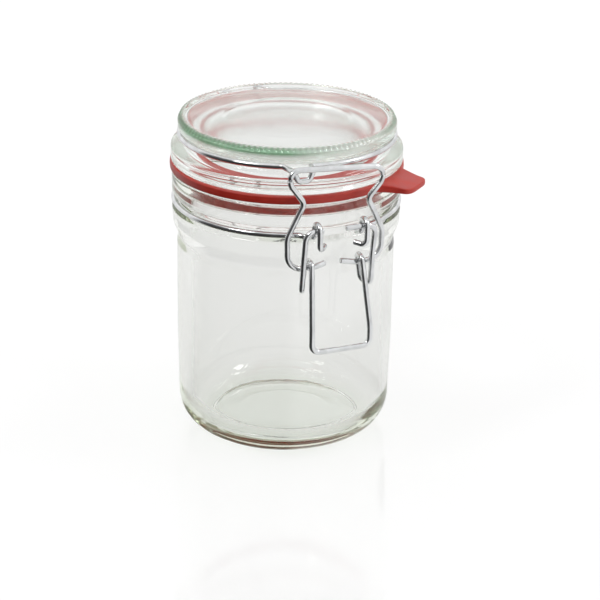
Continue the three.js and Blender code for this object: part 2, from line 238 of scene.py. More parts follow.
@dataclass(frozen=True)
class Tube:
    """Round wire along a run of places.

    A point at angle a of station i is the station's place plus radius times (cos a N + sin a B), where N and
    B are square to the run's direction and turn along it as little as they can.
    """

    radius: float = 1.05
    sides: int = 20
    end_steps: tuple[Pair, ...] = ((0.0, 0.72), (0.05, 0.88), (0.16, 0.97), (0.32, 1.0))

    def stations(self, run: Floats) -> tuple[Floats, Floats, Floats]:
        """Adds the eased ends.

        Args:
            run: The middle line.

        Returns:
            Each station's place, direction and share of the full radius.
        """
        steps = unit(np.diff(run, axis=0))
        along = unit(np.concatenate([steps[:1], steps[:-1] + steps[1:], steps[-1:]]))
        offset, share = np.array(self.end_steps).T
        start = run[0] + offset[:, None] * along[0]
        end = (run[-1] - offset[:, None] * along[-1])[::-1]
        places = np.concatenate([start, run[1:-1], end])
        count = len(offset)
        heading = np.concatenate([np.tile(along[0], (count, 1)), along[1:-1], np.tile(along[-1], (count, 1))])
        shares = np.concatenate([share, np.ones(len(run) - 2), share[::-1]])
        return places, heading, shares

    def surface(self, run: Floats) -> Surface:
        """Sweeps the wire.

        Args:
            run: The middle line, in millimetres.

        Returns:
            The closed tube, with places round and along the wire in metres for its lines.
        """
        places, heading, shares = self.stations(run)
        helper = np.eye(3)[np.argmin(np.abs(heading[0]))]
        first = unit(np.cross(heading[0], helper))
        carried = accumulate(heading[1:], lambda n, t: unit(n - t * (n @ t)), initial=first)
        normal = np.array(list(carried))
        side = np.cross(heading, normal)
        angle = np.linspace(0.0, 2 * np.pi, self.sides, endpoint=False)[None, :, None]
        ring = np.cos(angle) * normal[:, None] + np.sin(angle) * side[:, None]
        rings = places[:, None] + ring * (self.radius * shares)[:, None, None]
        points, quads, fans = capped_grid(rings, places[0], places[-1])
        return Surface(points, quads, fans, self.quad_uv(places))

    def quad_uv(self, places: Floats) -> Floats:
        """Distance round and along the wire, in metres, for each corner of each face of four."""
        length = np.concatenate([[0.0], np.linalg.norm(np.diff(places, axis=0), axis=1).cumsum()]) * MM
        round_step = 2 * np.pi * self.radius * MM / self.sides
        here = np.repeat(np.arange(self.sides)[None] * round_step, len(places) - 1, axis=0)
        low = np.repeat(length[:-1, None], self.sides, axis=1)
        high = np.repeat(length[1:, None], self.sides, axis=1)
        corners = ((here, low), (here + round_step, low), (here + round_step, high), (here, high))
        return np.stack([np.stack(c, axis=-1) for c in corners], axis=2)


# Shader building


class Nodes:
    """A thin hand for adding and joining nodes in one tree."""

    def __init__(self, tree: bpy.types.NodeTree) -> None:
        """Keeps the tree."""
        self.tree = tree

    def add(self, kind: str, **settings: object) -> Node:
        """Adds a node.

        Args:
            kind: The node's type name.
            settings: Its own settings by name.

        Returns:
            The node.
        """
        node = self.tree.nodes.new(kind)
        for name, value in settings.items():
            setattr(node, name, value)
        return node

    def join(self, source: Socket, target: Socket) -> None:
        """Joins an output to an input."""
        self.tree.links.new(source, target)

    def spread(self, value: Socket, low: float, high: float, span: Pair = NOISE_SPAN) -> Socket:
        """Maps a number from one span to another and holds it there.

        Args:
            value: The number.
            low: What the span's first end becomes.
            high: What its last end becomes.
            span: The number's own span.

        Returns:
            The new number.
        """
        node = self.add("ShaderNodeMapRange", clamp=True)
        for name, number in zip(("From Min", "From Max", "To Min", "To Max"), (*span, low, high)):
            node.inputs[name].default_value = number
        self.join(value, node.inputs["Value"])
        return node.outputs["Result"]

    def math(self, operation: str, first: Socket, second: Socket) -> Socket:
        """One number from two, by a math node's operation."""
        node = self.add("ShaderNodeMath", operation=operation)
        self.join(first, node.inputs[0])
        self.join(second, node.inputs[1])
        return node.outputs[0]

    def vector(self, operation: str, first: Socket, second: Triple | None = None) -> Socket:
        """Works on a vector.

        Args:
            operation: The vector math node's operation.
            first: The vector.
            second: The fixed vector that it is set against, if the operation takes one.

        Returns:
            The number, for a length or a dot product, or else the vector.
        """
        node = self.add("ShaderNodeVectorMath", operation=operation)
        self.join(first, node.inputs[0])
        if second is not None:
            node.inputs[1].default_value = second
        return node.outputs["Value" if operation in ("LENGTH", "DOT_PRODUCT") else "Vector"]

    def parts(self, vector: Socket) -> bpy.types.NodeOutputs:
        """A vector's X, Y and Z."""
        node = self.add("ShaderNodeSeparateXYZ")
        self.join(vector, node.inputs["Vector"])
        return node.outputs

    def tint(self, share: Socket, none: Triple, full: Triple) -> Socket:
        """A colour between two, by the share of the second."""
        node = self.add("ShaderNodeMix", data_type="RGBA")
        node.inputs[6].default_value = (*none, 1.0)
        node.inputs[7].default_value = (*full, 1.0)
        self.join(share, node.inputs[0])
        return node.outputs[2]

    def choose(self, ray: str, other: Socket, chosen: Socket) -> Socket:
        """Uses one shader for one kind of ray and another for the rest.

        Args:
            ray: The Light Path output that names the kind.
            other: The shader for the rest.
            chosen: The shader for that kind.

        Returns:
            The mixed shader.
        """
        path = self.add("ShaderNodeLightPath")
        either = self.add("ShaderNodeMixShader")
        self.join(path.outputs[ray], either.inputs["Fac"])
        self.join(other, either.inputs[1])
        self.join(chosen, either.inputs[2])
        return either.outputs["Shader"]


def lit_sides(hand: Nodes, place: Socket, turn: float) -> Socket:
    """Where the studio is lit: all round but for the left of the camera's side.

    Args:
        hand: The hand for the tree.
        place: A direction, or a place with the jar at its origin.
        turn: The camera's turn about the jar.

    Returns:
        A value of 1 where it is lit and 0 in the dark sector.
    """
    turned_back = hand.add("ShaderNodeMapping", vector_type="POINT")
    turned_back.inputs["Rotation"].default_value = (0.0, 0.0, -turn)
    hand.join(place, turned_back.inputs["Vector"])
    direction = hand.parts(hand.vector("NORMALIZE", turned_back.outputs["Vector"]))
    right, behind, above = (hand.spread(direction[axis], 0.0, 1.0, span) for axis, span in LIT_SPANS.items())
    return hand.math("MAXIMUM", hand.math("MAXIMUM", right, behind), above)


def speckle_group() -> bpy.types.NodeTree:
    """Builds, once, fine grain over slow cloud, as a value and as a height.

    Returns:
        The group. It reads Object coordinates inside itself.
    """
    name = "speckle"
    if name in bpy.data.node_groups:
        return bpy.data.node_groups[name]
    tree = bpy.data.node_groups.new(name, "ShaderNodeTree")
    for way, labels in (("INPUT", SPECKLE_INPUTS), ("OUTPUT", ("Cloud", "Height"))):
        for label in labels:
            tree.interface.new_socket(label, in_out=way, socket_type="NodeSocketFloat")
    hand = Nodes(tree)
    given = hand.add("NodeGroupInput")
    out = hand.add("NodeGroupOutput")
    place = hand.add("ShaderNodeTexCoord").outputs["Object"]
    grain = hand.add("ShaderNodeTexNoise")
    cloud = hand.add("ShaderNodeTexNoise")
    for node, label in zip((grain, cloud), SPECKLE_INPUTS):
        node.inputs["Detail"].default_value = SPECKLE_DETAIL
        hand.join(place, node.inputs["Vector"])
        hand.join(given.outputs[label], node.inputs["Scale"])
    mix = hand.add("ShaderNodeMix", data_type="FLOAT")
    hand.join(given.outputs["Cloud Share"], mix.inputs[0])
    hand.join(grain.outputs["Fac"], mix.inputs[2])
    hand.join(cloud.outputs["Fac"], mix.inputs[3])
    hand.join(cloud.outputs["Fac"], out.inputs["Cloud"])
    hand.join(mix.outputs[0], out.inputs["Height"])
    return tree


@dataclass(frozen=True)
class Finish:
    """A finish that makes its material once and then hands out the same one."""

    name: str

    def material(self) -> bpy.types.Material:
        """The finish's material, built on the first call."""
        if self.name in bpy.data.materials:
            return bpy.data.materials[self.name]
        material = bpy.data.materials.new(self.name)
        material.use_nodes = True
        material.node_tree.nodes.clear()
        hand = Nodes(material.node_tree)
        out = hand.add("ShaderNodeOutputMaterial")
        shader = hand.add("ShaderNodeBsdfPrincipled")
        hand.join(shader.outputs["BSDF"], out.inputs["Surface"])
        self.dress(hand, shader, out)
        return material

    def dress(self, hand: Nodes, shader: Node, out: Node) -> None:
        """Sets the shader. Each kind of finish has its own."""
        raise NotImplementedError

    def speckle(self, hand: Nodes, values: Triple) -> Node:
        """Adds the shared speckle with this finish's values.

        Args:
            hand: The hand for the material's tree.
            values: Grain scale, cloud scale and the cloud's share of the height.

        Returns:
            The group node.
        """
        node = hand.add("ShaderNodeGroup", node_tree=speckle_group())
        for label, value in zip(SPECKLE_INPUTS, values):
            node.inputs[label].default_value = value
        return node

    def bump(self, hand: Nodes, shader: Node, height: Socket, deep: float) -> None:
        """Joins a height to the shader's normal.

        Args:
            hand: The hand for the material's tree.
            shader: The shader.
            height: The height.
            deep: Depth in metres.
        """
        node = hand.add("ShaderNodeBump")
        node.inputs["Distance"].default_value = deep
        hand.join(height, node.inputs["Height"])
        hand.join(node.outputs["Normal"], shader.inputs["Normal"])


@dataclass(frozen=True)
class GlassFinish(Finish):
    """Pressed soda glass. Its colour comes from what its depth takes out of the light."""

    passes: Triple
    density: float
    ior: float = 1.51
    ripple: Triple = (220.0, 55.0, 0.85)
    ripple_deep: float = 0.00006
    lets_light: Triple = (0.97, 0.98, 0.97)

    def dress(self, hand: Nodes, shader: Node, out: Node) -> None:
        """Clear glass with a slow ripple and absorption inside. Lamplight goes straight through it."""
        shader.inputs["Base Color"].default_value = (1.0, 1.0, 1.0, 1.0)
        shader.inputs["Roughness"].default_value = 0.0
        shader.inputs["IOR"].default_value = self.ior
        shader.inputs["Transmission Weight"].default_value = 1.0
        self.bump(hand, shader, self.speckle(hand, self.ripple).outputs["Height"], self.ripple_deep)
        inside = hand.add("ShaderNodeVolumeAbsorption")
        inside.inputs["Color"].default_value = (*self.passes, 1.0)
        inside.inputs["Density"].default_value = self.density
        hand.join(inside.outputs["Volume"], out.inputs["Volume"])
        clear = hand.add("ShaderNodeBsdfTransparent")
        clear.inputs["Color"].default_value = (*self.lets_light, 1.0)
        for_lamps = hand.choose("Is Shadow Ray", shader.outputs["BSDF"], clear.outputs["BSDF"])
        for_all = hand.choose("Is Diffuse Ray", for_lamps, clear.outputs["BSDF"])
        hand.join(for_all, out.inputs["Surface"])


@dataclass(frozen=True)
class LidGlassFinish(GlassFinish):
    """The lid's glass: soft in the recessed top, and greener on one side of its toothed edge.

    Places are in metres. Each pair is where a change starts and ends, by distance from the axis, by height or
    by distance towards the side with the painted shade.
    """

    soft: float = 0.26
    recess_r: Pair = (0.0362, 0.0372)
    recess_height: Pair = (0.1215, 0.1219)
    # painted shade: the colour and the band of a darker green painted on the toothed edge, faded in towards
    # the front-left side
    edge_shade_colour: Triple = (0.08, 0.22, 0.1)
    shade_band_r: Pair = (0.0392, 0.04)
    shade_band_height: Pair = (0.1202, 0.1216)
    shade_towards: Triple = (-0.82, -0.57, 0.0)
    shade_side: Pair = (0.008, 0.034)

    def dress(self, hand: Nodes, shader: Node, out: Node) -> None:
        """The same glass, with its roughness given by place, and painted shade, a darker green tint, on the
        front-left side of the toothed edge.
        """
        super().dress(hand, shader, out)
        place = hand.add("ShaderNodeTexCoord").outputs["Object"]
        radius = hand.vector("LENGTH", hand.vector("MULTIPLY", place, (1.0, 1.0, 0.0)))
        height = hand.parts(place)["Z"]
        in_recess = hand.math(
            "MULTIPLY",
            hand.spread(radius, 1.0, 0.0, self.recess_r),
            hand.spread(height, 0.0, self.soft, self.recess_height),
        )
        hand.join(in_recess, shader.inputs["Roughness"])
        # painted shade: the toothed edge's band, tinted darker green towards the front-left side only
        at_shaded_edge = hand.math(
            "MULTIPLY",
            hand.spread(radius, 0.0, 1.0, self.shade_band_r),
            hand.spread(height, 0.0, 1.0, self.shade_band_height),
        )
        towards = hand.vector("DOT_PRODUCT", place, self.shade_towards)
        share = hand.math("MULTIPLY", at_shaded_edge, hand.spread(towards, 0.0, 1.0, self.shade_side))
        hand.join(hand.tint(share, (1.0, 1.0, 1.0), self.edge_shade_colour), shader.inputs["Base Color"])


@dataclass(frozen=True)
class RubberFinish(Finish):
    """Moulded rubber: a satin skin with fine grain and a little bloom."""

    deep: Triple = (0.41, 0.018, 0.01)
    pale: Triple = (0.48, 0.03, 0.015)
    roughness: Pair = (0.36, 0.5)
    grain: Triple = (2600.0, 180.0, 0.25)
    grain_deep: float = 0.00004

    def dress(self, hand: Nodes, shader: Node, out: Node) -> None:
        """Two reds in a slow cloud, with grain in the normal."""
        speckle = self.speckle(hand, self.grain)
        cloud = speckle.outputs["Cloud"]
        hand.join(hand.tint(hand.spread(cloud, 0.0, 1.0), self.deep, self.pale), shader.inputs["Base Color"])
        hand.join(hand.spread(cloud, *self.roughness), shader.inputs["Roughness"])
        self.bump(hand, shader, speckle.outputs["Height"], self.grain_deep)


@dataclass(frozen=True)
class WireFinish(Finish):
    """Bright plated wire with faint lines drawn along it."""

    bright: Triple = (0.8, 0.81, 0.82)
    dull: Triple = (0.6, 0.61, 0.62)
    roughness: Pair = (0.1, 0.24)
    plating: Triple = (1500.0, 220.0, 0.6)
    line_scale: Triple = (2600.0, 60.0, 1.0)
    line_deep: float = 0.000012

    def dress(self, hand: Nodes, shader: Node, out: Node) -> None:
        """Metal with mottled plating. The lines run along the wire's own places."""
        speckle = self.speckle(hand, self.plating)
        cloud = hand.spread(speckle.outputs["Cloud"], 0.0, 1.0)
        hand.join(hand.tint(cloud, self.dull, self.bright), shader.inputs["Base Color"])
        shader.inputs["Metallic"].default_value = 1.0
        hand.join(hand.spread(speckle.outputs["Height"], *self.roughness), shader.inputs["Roughness"])
        stretch = hand.add("ShaderNodeMapping")
        stretch.inputs["Scale"].default_value = self.line_scale
        hand.join(hand.add("ShaderNodeUVMap", uv_map=WIRE_UV).outputs["UV"], stretch.inputs["Vector"])
        lines = hand.add("ShaderNodeTexNoise")
        lines.inputs["Scale"].default_value = 1.0
        hand.join(stretch.outputs["Vector"], lines.inputs["Vector"])
        self.bump(hand, shader, lines.outputs["Fac"], self.line_deep)


CLEAR_GLASS = GlassFinish("clear glass", passes=(0.52, 0.6, 0.36), density=8.0)
GREEN_GLASS = LidGlassFinish("green glass", passes=(0.2, 0.62, 0.3), density=3.0)
RED_RUBBER = RubberFinish("red rubber")
BRIGHT_WIRE = WireFinish("bright wire")


@dataclass(frozen=True)
class Piece:
    """A finished piece and how it belongs to the frame."""

    name: str
    node: str
    body: Body
    slot: Slot
    finish: Finish

    def place(self, surface: Surface) -> bpy.types.Object:
        """Makes the piece, sets it on its body and puts it in its node's place.

        Args:
            surface: The piece's surface.

        Returns:
            The object.
        """
        piece = surface.make(self.name, self.finish)
        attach(piece, self.body.value)
        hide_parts(self.node)
        LOG.info("%s: %d points on body %s", self.name, len(surface.points), self.body.value)
        return piece


@dataclass(frozen=True)
class Part:
    """A part of the jar. Each kind has its own surface."""

    piece: Piece

    def surface(self) -> Surface:
        """The part's surface, in millimetres."""
        raise NotImplementedError

    def build(self) -> bpy.types.Object:
        """The part's object, in its place."""
        return self.piece.place(self.surface())


# Glass


@dataclass(frozen=True)
class GlassBody(Part):
    """The jar's body: an outer wall up to the rim and an inner wall down to the floor.

    The ledge is given by its heights at the mouth and at the wall. Above the first shift end, a height, the
    inner wall's shift fades, and it is gone at the second.
    """

    piece: Piece = Piece("body_glass", "jar", Body.ROOT, Slot.JAR_GLASS, CLEAR_GLASS)
    columns: int = 288
    wall_r: float = 41.2
    foot_r: float = 40.2
    inner_r: float = 36.0
    mouth_r: float = 31.0
    ledge: Pair = (100.6, 97.4)
    rim_r: float = 43.1
    groove_r: float = 40.9
    rim_top: float = 103.4
    floor: float = 6.0
    shift: float = 1.1
    shift_angle: float = math.radians(-22.3)
    slack: float = 0.3
    shift_ends: Pair = (45.0, 95.0)
    floor_fade: Pair = (27.0, 0.2)
    waves: tuple[tuple[float, float, float, float], ...] = ((0.1, 3, 0.05, 0.0), (0.05, 7, -0.08, 1.0))

    def profile(self) -> Floats:
        """Radius, height and rounding of each corner: out under the base, up the outside and down inside."""
        corners = np.array([
            (0.0, 0.7, 0.0),
            (18.0, 0.6, 30.0),  # the hollow under the base
            (29.0, 0.0, 8.0),  # the ring that it stands on
            (self.foot_r, 0.0, 12.4),
            (self.wall_r, 38.0, 160.0),
            (self.wall_r, 74.6, 5.0),
            (40.6, 77.8, 3.0),  # the waist
            (42.8, 83.2, 4.0),
            (self.rim_r, 88.6, 1.3),  # the bead
            (self.groove_r, 90.4, 0.8),
            (self.groove_r, 92.8, 0.8),
            (self.rim_r, 94.9, 1.0),
            (self.rim_r, self.rim_top, 1.5),
            (self.mouth_r, self.rim_top, 1.0),
            (self.mouth_r, self.ledge[0], 0.8),
            (self.inner_r, self.ledge[1], 1.5),
            (self.inner_r, self.floor, 9.6),
            (0.0, self.floor, 0.0),
        ])
        return rounded(corners[:, :2], corners[:, 2], samples=8, support=0.2)

    def uneven(self, radius: Floats, height: Floats, angle: Floats) -> tuple[Floats, Floats, Floats]:
        """Sets the inner wall a little to one side and ripples it, as a plunger leaves it.

        The wall moves by the shift times the cosine of the angle from the thin side, and by small waves. A
        wave has a depth, a count round the wall, a twist by height and a start. All fade out towards the
        ledge and over the floor.
        """
        near_wall = radius < self.inner_r + self.slack
        inside = near_wall & (height > self.floor - self.slack) & (height < self.ledge[1])
        low, high = self.shift_ends
        upward = np.clip((high - height) / (high - low), 0.0, 1.0)
        scale, start = self.floor_fade
        fade = upward * upward * (3 - 2 * upward) * np.clip(radius / scale - start, 0.0, 1.0) ** 2
        waves = sum(
            deep * np.sin(count * angle + twist * height + first) for deep, count, twist, first in self.waves
        )
        move = self.shift * np.cos(angle - self.shift_angle) + waves
        return radius + np.where(inside, move * fade, 0.0), height, angle

    def surface(self) -> Surface:
        """The body, turned round its axis."""
        return turned(self.profile(), self.columns, self.uneven)


@dataclass(frozen=True)
class GlassLid(Part):
    """The lid: a domed underside, a flange, a wire groove and a toothed top edge.

    The teeth fade within their reach above and below their height, and inwards between the two inner radii.
    """

    piece: Piece = Piece("lid_glass", "lid", Body.LID, Slot.LID_GLASS, GREEN_GLASS)
    teeth: int = 120
    steps_per_tooth: int = 5
    tooth_deep: float = 0.8
    tooth_height: float = 123.4
    tooth_reach: float = 1.3
    tooth_inner: Pair = (38.7, 39.3)
    tooth_drop: float = 0.8
    wall_r: float = 40.9
    flange_r: float = 43.5
    groove_r: float = 38.7
    bottom: float = 107.0
    top: float = 124.0
    dome_r: float = 35.0
    dome_top: float = 117.6
    dome_steps: int = 27

    def dome(self) -> Floats:
        """Half an ellipse from the dome's middle to the flange, as corners without rounding."""
        angle = np.linspace(0.0, np.pi / 2, self.dome_steps + 1)[:-1]
        height = self.bottom + (self.dome_top - self.bottom) * np.cos(angle)
        return np.stack([self.dome_r * np.sin(angle), height, 0 * angle], axis=1)

    def profile(self) -> Floats:
        """Radius, height and rounding of each corner, from the dome's middle to the top's middle."""
        outside = np.array([
            (self.dome_r, self.bottom, 0.5),
            (self.flange_r, self.bottom, 0.9),
            (self.flange_r, 112.6, 1.7),  # the flange's top edge
            (40.0, 115.0, 1.6),
            (self.groove_r, 115.9, 0.7),
            (self.groove_r, 117.9, 0.7),
            (self.wall_r, 119.2, 1.0),  # the wall under the teeth
            (self.wall_r, 122.0, 1.2),
            (39.9, self.top, 0.35),
            (38.6, self.top, 0.7),
            (37.2, 122.8, 1.0),  # the recess, and the shallow step in it
            (24.3, 122.6, 2.0),
            (22.6, 122.3, 2.0),
            (0.0, 122.3, 0.0),
        ])
        corners = np.concatenate([self.dome(), outside])
        return rounded(corners[:, :2], corners[:, 2], samples=6, support=0.12)

    def toothed(self, radius: Floats, height: Floats, angle: Floats) -> tuple[Floats, Floats, Floats]:
        """Cuts the teeth: a triangle wave round the top edge draws it in and down."""
        turn = angle * self.teeth / (2 * np.pi) % 1.0
        wave = 1.0 - np.abs(2 * turn - 1.0)
        near = np.clip(1.0 - np.abs(height - self.tooth_height) / self.tooth_reach, 0.0, 1.0)
        inner, outer = self.tooth_inner
        near = near * np.clip((radius - inner) / (outer - inner), 0.0, 1.0)
        deep = self.tooth_deep * wave * near
        return radius - deep, height - self.tooth_drop * deep, angle

    def surface(self) -> Surface:
        """The lid, turned round its axis and toothed."""
        return turned(self.profile(), self.teeth * self.steps_per_tooth, self.toothed)


# Rubber


@dataclass(frozen=True)
class SealingRing(Part):
    """The flat ring with a broad blunt tab that thins towards its tip.

    The tab's neck and shoulder are each a distance out from the axis and a distance to the side.
    """

    piece: Piece = Piece("ring_rubber", "sealing_ring", Body.LID, Slot.RUBBER, RED_RUBBER)
    outer_r: float = 43.8
    hole_r: float = 31.6
    bottom: float = 103.7
    thick: float = 3.0
    edge: float = 0.55
    tab_angle: float = math.radians(40.5 - 90.0)
    root_angle: float = math.radians(15.0)
    reach: float = 54.6
    neck: Pair = (45.4, 9.3)
    shoulder: Pair = (51.0, 8.0)
    tip_side: float = 3.0
    tip_thick: float = 2.0
    flash: float = 0.09
    flash_wide: float = 0.14
    arc_steps: int = 240
    curve_steps: int = 16
    round_steps: int = 6
    side_steps: int = 11
    across_steps: int = 10

    def outline(self) -> Floats:
        """The outer edge in plan, anticlockwise: a long arc, then the tab by four quadratic curves.

        A quadratic curve is (1 - t)^2 A + 2 t (1 - t) C + t^2 B, from A to B with its corner at C.
        """
        start, stop = self.tab_angle + self.root_angle, self.tab_angle - self.root_angle + 2 * np.pi
        arc = np.linspace(start, stop, self.arc_steps)
        circle = self.outer_r * np.stack([np.cos(arc), np.sin(arc)], axis=1)
        t = np.linspace(0.0, 1.0, self.curve_steps + 1)[1:, None]

        def curve(start: Floats, corner: Floats, end: Floats) -> Floats:
            """Points of one quadratic curve, without its start."""
            return (1 - t) ** 2 * start + 2 * t * (1 - t) * corner + t**2 * end

        def local(out: float, side: float) -> Floats:
            """A place of the tab, by its distance out and to the side."""
            c, s = math.cos(self.tab_angle), math.sin(self.tab_angle)
            return np.array([out * c - side * s, out * s + side * c])

        low, high = local(self.shoulder[0], -self.shoulder[1]), local(*self.shoulder)
        tip_low, tip_high = local(self.reach, -self.tip_side), local(self.reach, self.tip_side)
        return np.concatenate([
            circle,
            curve(circle[-1], local(self.neck[0], -self.neck[1]), low),
            curve(low, local(self.reach, -self.shoulder[1]), tip_low),
            tip_low + (tip_high - tip_low) * t[3::4],
            curve(tip_high, local(self.reach, self.shoulder[1]), high),
            curve(high, local(*self.neck), circle[0])[:-1],
        ])

    def surface(self) -> Surface:
        """Carries the ring's rounded section round the outline.

        Each row of the section has a share across from hole to outline, an inset from the nearer edge and a
        height. The top falls by a smooth step beyond the ring, so the tab is a wedge.
        """
        edge_line = self.outline()
        ahead = unit(np.roll(edge_line, -1, axis=0) - np.roll(edge_line, 1, axis=0))
        normal = np.stack([ahead[:, 1], -ahead[:, 0]], axis=1)
        hole_line = self.hole_r * unit(edge_line)
        outward = unit(edge_line)
        quarter = np.linspace(0.0, np.pi / 2, self.round_steps)
        inset = self.edge * (1 - np.sin(quarter))
        rise = self.edge * (1 - np.cos(quarter))
        side = np.linspace(self.edge, self.thick - self.edge, self.side_steps + 2)[1:-1]
        ridge = self.flash * np.exp(-(((side - self.thick / 2) / self.flash_wide) ** 2))
        across = np.linspace(0.0, 1.0, self.across_steps + 2)[1:-1]
        outer_inset = np.concatenate([inset, -ridge, inset[::-1]])
        outer_level = np.concatenate([rise, side, self.thick - rise[::-1]])
        rows_outer = edge_line[None] - normal[None] * outer_inset[:, None, None]
        inner_inset = np.concatenate([inset, inset[::-1]])
        inner_level = np.concatenate([self.thick - rise, rise[::-1]])
        rows_inner = hole_line[None] + outward[None] * inner_inset[:, None, None]
        under = rows_inner[-1] + (rows_outer[0] - rows_inner[-1]) * across[:, None, None]
        over = rows_outer[-1] + (rows_inner[0] - rows_outer[-1]) * across[:, None, None]
        plan = np.concatenate([under, rows_outer, over, rows_inner])
        flat = np.zeros(len(across))
        level = np.concatenate([flat, outer_level, flat + self.thick, inner_level])[:, None]
        beyond = (np.linalg.norm(plan, axis=-1) - self.outer_r) / (self.reach - self.outer_r)
        share = np.clip(beyond, 0.0, 1.0)
        share = share * share * (3 - 2 * share)
        height = self.bottom + level * (1 + (self.tip_thick / self.thick - 1) * share)
        points = np.concatenate([plan, height[..., None]], axis=-1)
        quads = grid_quads(*points.shape[:2], closed_rows=True)
        return Surface(points.reshape(-1, 3), quads, NO_TRIANGLES)


# Wire


@dataclass(frozen=True)
class ClipLayout:
    """Places that the wires share. A pivot is a distance in front of the jar's axis and a height."""

    pivot_bend: float = 2.5
    lever_pivot: Pair = (52.0, 96.7)
    bail_pivot: Pair = (46.5, 80.9)
    neck_r: float = 42.3
    neck_z: float = 91.6
    lid_r: float = 40.1
    lid_z: float = 116.9
    hinge_y: float = 48.5
    hinge_z: float = 96.0
    groove_step: float = math.radians(2.5)

    def groove(self, radius: float, height: float, start: float, stop: float) -> Floats:
        """Corners round a groove: x, distance in front, height and no rounding.

        Args:
            radius: The groove's radius.
            height: Its height.
            start: The first angle from the front.
            stop: The last angle.

        Returns:
            One row for each corner.
        """
        angle = np.linspace(start, stop, 1 + math.ceil(abs(stop - start) / self.groove_step))
        level = np.full_like(angle, height)
        return np.stack([radius * np.sin(angle), radius * np.cos(angle), level, 0 * angle], axis=1)


LAYOUT = ClipLayout()
TUBE = Tube()


def mirrored(corners: Floats) -> Floats:
    """The same corners on the other side, in the other order."""
    return (corners * np.array([-1.0, 1.0, 1.0, 1.0]))[::-1]


@dataclass(frozen=True)
class BentWire(Part):
    """A part bent from wire. Each kind has its own corners."""

    def corners(self) -> Floats:
        """One row for each corner: x, distance in front, height and rounding."""
        raise NotImplementedError

    def surface(self) -> Surface:
        """The wire along its corners."""
        corners = self.corners()
        run = rounded(corners[:, :3] * np.array([1.0, -1.0, 1.0]), corners[:, 3], samples=10)
        return TUBE.surface(run)


@dataclass(frozen=True)
class NeckWire(BentWire):
    """The wire round the neck, with an eye at each front end and a hinge bar at the back."""

    piece: Piece = Piece("neck_wire_bright", "neck_wire", Body.ROOT, Slot.WIRE, BRIGHT_WIRE)
    eye_x: float = 9.1
    eye_bottom: float = 89.9
    eye_curl: float = 3.4
    hinge_half: float = 10.2
    front_gap: float = 11.6
    back_gap: float = 12.4

    def corners(self) -> Floats:
        """The left half's corners, then the same mirrored."""
        front, level = LAYOUT.lever_pivot
        bend = LAYOUT.pivot_bend
        near, far, top = front - bend, front + bend, level + bend
        start = math.asin(-self.front_gap / LAYOUT.neck_r)
        stop = -math.pi + math.asin(self.back_gap / LAYOUT.neck_r)
        eye = [
            (-self.eye_x + self.eye_curl, near + 1.2, self.eye_bottom + 0.6, 0),  # the free end
            (-self.eye_x, far, self.eye_bottom, 2.3),
            (-self.eye_x, far, top, bend),  # over the lever's stub
            (-self.eye_x, near, top, bend),
            (-self.eye_x, near, LAYOUT.neck_z + 2.2, 1.8),  # down to the groove
            (-self.eye_x - 0.3, LAYOUT.neck_r + 2.2, LAYOUT.neck_z + 0.2, 2.5),
        ]
        hinge = [
            (-self.hinge_half - 0.8, -(LAYOUT.neck_r + 2.4), LAYOUT.neck_z + 0.2, 2.0),
            (-self.hinge_half, -LAYOUT.hinge_y, LAYOUT.hinge_z, 2.0),
        ]
        half = np.concatenate([eye, LAYOUT.groove(LAYOUT.neck_r, LAYOUT.neck_z, start, stop), hinge])
        return np.concatenate([half, mirrored(half)])


@dataclass(frozen=True)
class LidWire(BentWire):
    """The wire round the lid, with a dipping loop at the front and two legs to the hinge."""

    piece: Piece = Piece("lid_wire_bright", "lid_wire", Body.LID, Slot.WIRE, BRIGHT_WIRE)
    loop_x: float = -11.6
    loop_front: float = 44.5
    loop_half: float = 2.1
    loop_lean: float = 1.6
    loop_spread: float = 4.8
    loop_bottom: float = 113.4
    leg_x: float = 6.0
    back_gap: float = 9.4

    def leg(self) -> Floats:
        """The left leg, from the end of its eye up to the groove."""
        bend = LAYOUT.pivot_bend
        near, far = LAYOUT.hinge_y - bend, LAYOUT.hinge_y + bend
        top, low = LAYOUT.hinge_z + bend, LAYOUT.hinge_z - bend
        return np.array([
            (-self.leg_x, -(LAYOUT.hinge_y + 0.5), top, 0),
            (-self.leg_x, -far, top, bend - 0.1),  # round the hinge bar
            (-self.leg_x, -far, low, bend - 0.05),
            (-self.leg_x, -near, low, bend - 0.05),
            (-self.leg_x, -(near + 0.4), LAYOUT.lid_z - 1.2, 2.0),  # up to the lid
            (-self.leg_x - 1.2, -(LAYOUT.lid_r + 2.4), LAYOUT.lid_z + 0.1, 1.5),
        ])

    def loop(self) -> Floats:
        """The front loop, which dips behind and below the bar."""
        high = LAYOUT.lid_z + 0.1
        wide = self.loop_half + self.loop_lean
        return np.array([
            (self.loop_x - wide, self.loop_front - 0.2, high, 1.6),
            (self.loop_x - self.loop_half, self.loop_front, self.loop_bottom, 1.9),
            (self.loop_x + self.loop_half, self.loop_front, self.loop_bottom, 1.9),
            (self.loop_x + wide, self.loop_front - 0.2, high, 1.6),
        ])

    def corners(self) -> Floats:
        """All corners, from the left leg's eye to the right leg's."""
        radius, level = LAYOUT.lid_r, LAYOUT.lid_z
        back = math.pi - math.asin(self.back_gap / radius)
        left = math.asin((self.loop_x - self.loop_spread) / radius)
        right = math.asin((self.loop_x + self.loop_spread) / radius)
        before = LAYOUT.groove(radius, level, -back, left)
        after = LAYOUT.groove(radius, level, right, back)
        return np.concatenate([self.leg(), before, self.loop(), after, mirrored(self.leg())])


